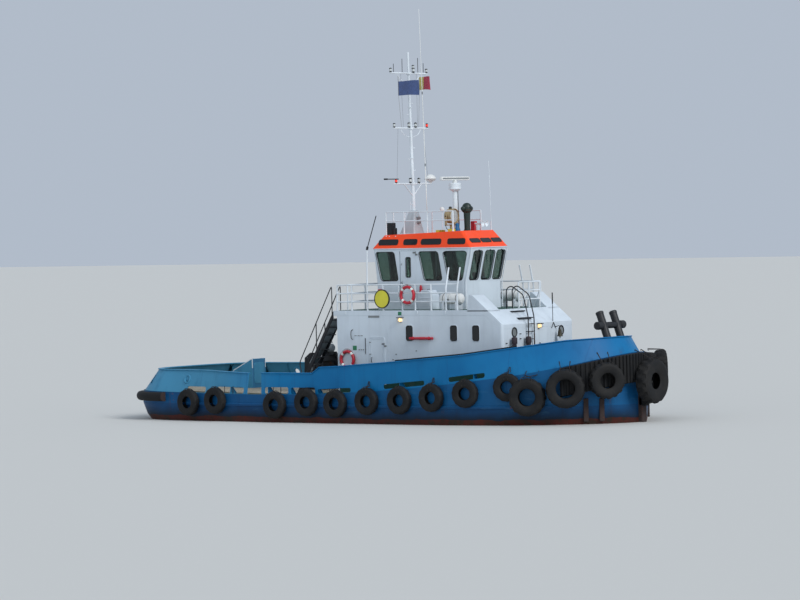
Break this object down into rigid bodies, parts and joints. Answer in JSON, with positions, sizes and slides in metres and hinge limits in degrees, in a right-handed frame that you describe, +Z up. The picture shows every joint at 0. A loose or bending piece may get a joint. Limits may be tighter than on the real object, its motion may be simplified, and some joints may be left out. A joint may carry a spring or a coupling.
{
  "type": "harbour tugboat",
  "caption": "Harbour tugboat afloat, with tyre fenders, a raised wheelhouse, a mast, a foredeck towing bitt, a towing winch, twin propellers in nozzles and twin rudders.",
  "frame": {"origin": "on the centreline at the waterline, amidships", "axes": "+X to the bow, +Y to port, +Z up"},
  "size_m": [23.2, 8.284, 18.5517],
  "materials": {
    "blue_paint": "semi-gloss, weathered",
    "white_paint": "semi-gloss, rust-streaked",
    "orange_paint": "semi-gloss",
    "grey_paint": "satin",
    "black_paint": "satin, worn",
    "green_paint": "satin",
    "beige_paint": "satin",
    "yellow_paint": "satin",
    "bottom_paint": "matt antifouling",
    "bronze": "dull bronze",
    "rubber": "worn, dusty",
    "window_glass": "tinted, clear",
    "white_plastic": "moulded",
    "red_plastic": "moulded",
    "blue_cloth": "woven",
    "red_cloth": "woven"
  },
  "bodies": {
    "root": {"hull": "blue_paint", "bulwark_forward": "blue_paint", "bulwark_aft": "blue_paint", "stern_fender": "rubber", "bow_fender": "rubber", "side_fender_starboard": "rubber", "side_fender_port": "rubber", "boat_deck": "white_paint", "deckhouse": "white_paint", "wheelhouse": "white_paint", "glazing_forward": "window_glass", "glazing_aft": "window_glass", "wheelhouse_roof": "orange_paint", "helm_console": "grey_paint", "helm_chair": "black_paint", "boat_deck_rail_starboard": "white_paint", "boat_deck_rail_port": "white_paint", "front_rail": "white_paint", "roof_rail": "white_paint", "aft_stair": "black_paint", "front_ladder": "black_paint", "liferaft_starboard": "white_plastic", "liferaft_port": "white_plastic", "vent_locker": "white_paint", "life_ring_boat_deck": "red_plastic", "life_ring_aft": "red_plastic", "rail_disc": "yellow_paint", "compass_binnacle": "green_paint", "searchlight": "beige_paint", "radar_pedestal": "white_paint", "mast": "white_paint", "satellite_dome": "white_plastic", "whip_antenna": "white_plastic", "house_flag": "blue_cloth", "small_flag": "red_cloth", "towing_bitt": "black_paint", "towing_winch_frame": "black_paint", "companion_hatch": "blue_paint", "nozzle_starboard": "bottom_paint", "nozzle_port": "bottom_paint"},
    "house_door_starboard": {"deckhouse_door_starboard": "white_paint"},
    "house_door_port": {"deckhouse_door_port": "white_paint"},
    "cabin_door_starboard": {"wheelhouse_door_starboard": "white_paint"},
    "cabin_door_port": {"wheelhouse_door_port": "white_paint"},
    "scanner": {"radar_scanner": "grey_paint"},
    "drum": {"winch_drum": "black_paint"},
    "screw_starboard": {"propeller_starboard": "bronze"},
    "screw_port": {"propeller_port": "bronze"},
    "rudder_blade_starboard": {"rudder_starboard": "bottom_paint"},
    "rudder_blade_port": {"rudder_port": "bottom_paint"}
  },
  "joints": [
    {"name": "house_door_starboard_hinge", "type": "hinge", "parent": "root", "child": "house_door_starboard", "pos_m": [0.8, -2.3153, 2.3], "axis": [0, 0, 1], "range_deg": [0, 110]},
    {"name": "house_door_port_hinge", "type": "hinge", "parent": "root", "child": "house_door_port", "pos_m": [0.8, 2.3153, 2.3], "axis": [0, 0, -1], "range_deg": [0, 110]},
    {"name": "cabin_door_starboard_hinge", "type": "hinge", "parent": "root", "child": "cabin_door_starboard", "pos_m": [1.53, -1.2053, 5.4], "axis": [0, 0, 1], "range_deg": [0, 100]},
    {"name": "cabin_door_port_hinge", "type": "hinge", "parent": "root", "child": "cabin_door_port", "pos_m": [1.53, 1.2053, 5.4], "axis": [0, 0, -1], "range_deg": [0, 100]},
    {"name": "scanner_spin", "type": "hinge", "parent": "root", "child": "scanner", "pos_m": [2.57, 0, 8.98], "axis": [0, 0, 1], "continuous": true},
    {"name": "drum_spin", "type": "hinge", "parent": "root", "child": "drum", "pos_m": [-4, 0, 1.9], "axis": [0, 1, 0], "continuous": true},
    {"name": "screw_starboard_spin", "type": "hinge", "parent": "root", "child": "screw_starboard", "pos_m": [-7.9, -1.65, -1.85], "axis": [1, 0, 0], "continuous": true},
    {"name": "screw_port_spin", "type": "hinge", "parent": "root", "child": "screw_port", "pos_m": [-7.9, 1.65, -1.85], "axis": [1, 0, 0], "continuous": true},
    {"name": "rudder_starboard_steer", "type": "hinge", "parent": "root", "child": "rudder_blade_starboard", "pos_m": [-8.85, -1.65, -1.8], "axis": [0, 0, 1], "range_deg": [-35, 35]},
    {"name": "rudder_port_steer", "type": "hinge", "parent": "root", "child": "rudder_blade_port", "pos_m": [-8.85, 1.65, -1.8], "axis": [0, 0, 1], "range_deg": [-35, 35]}
  ],
  "couplings": [
    {"joint": "rudder_port_steer", "follows": "rudder_starboard_steer", "ratio": 1}
  ]
}
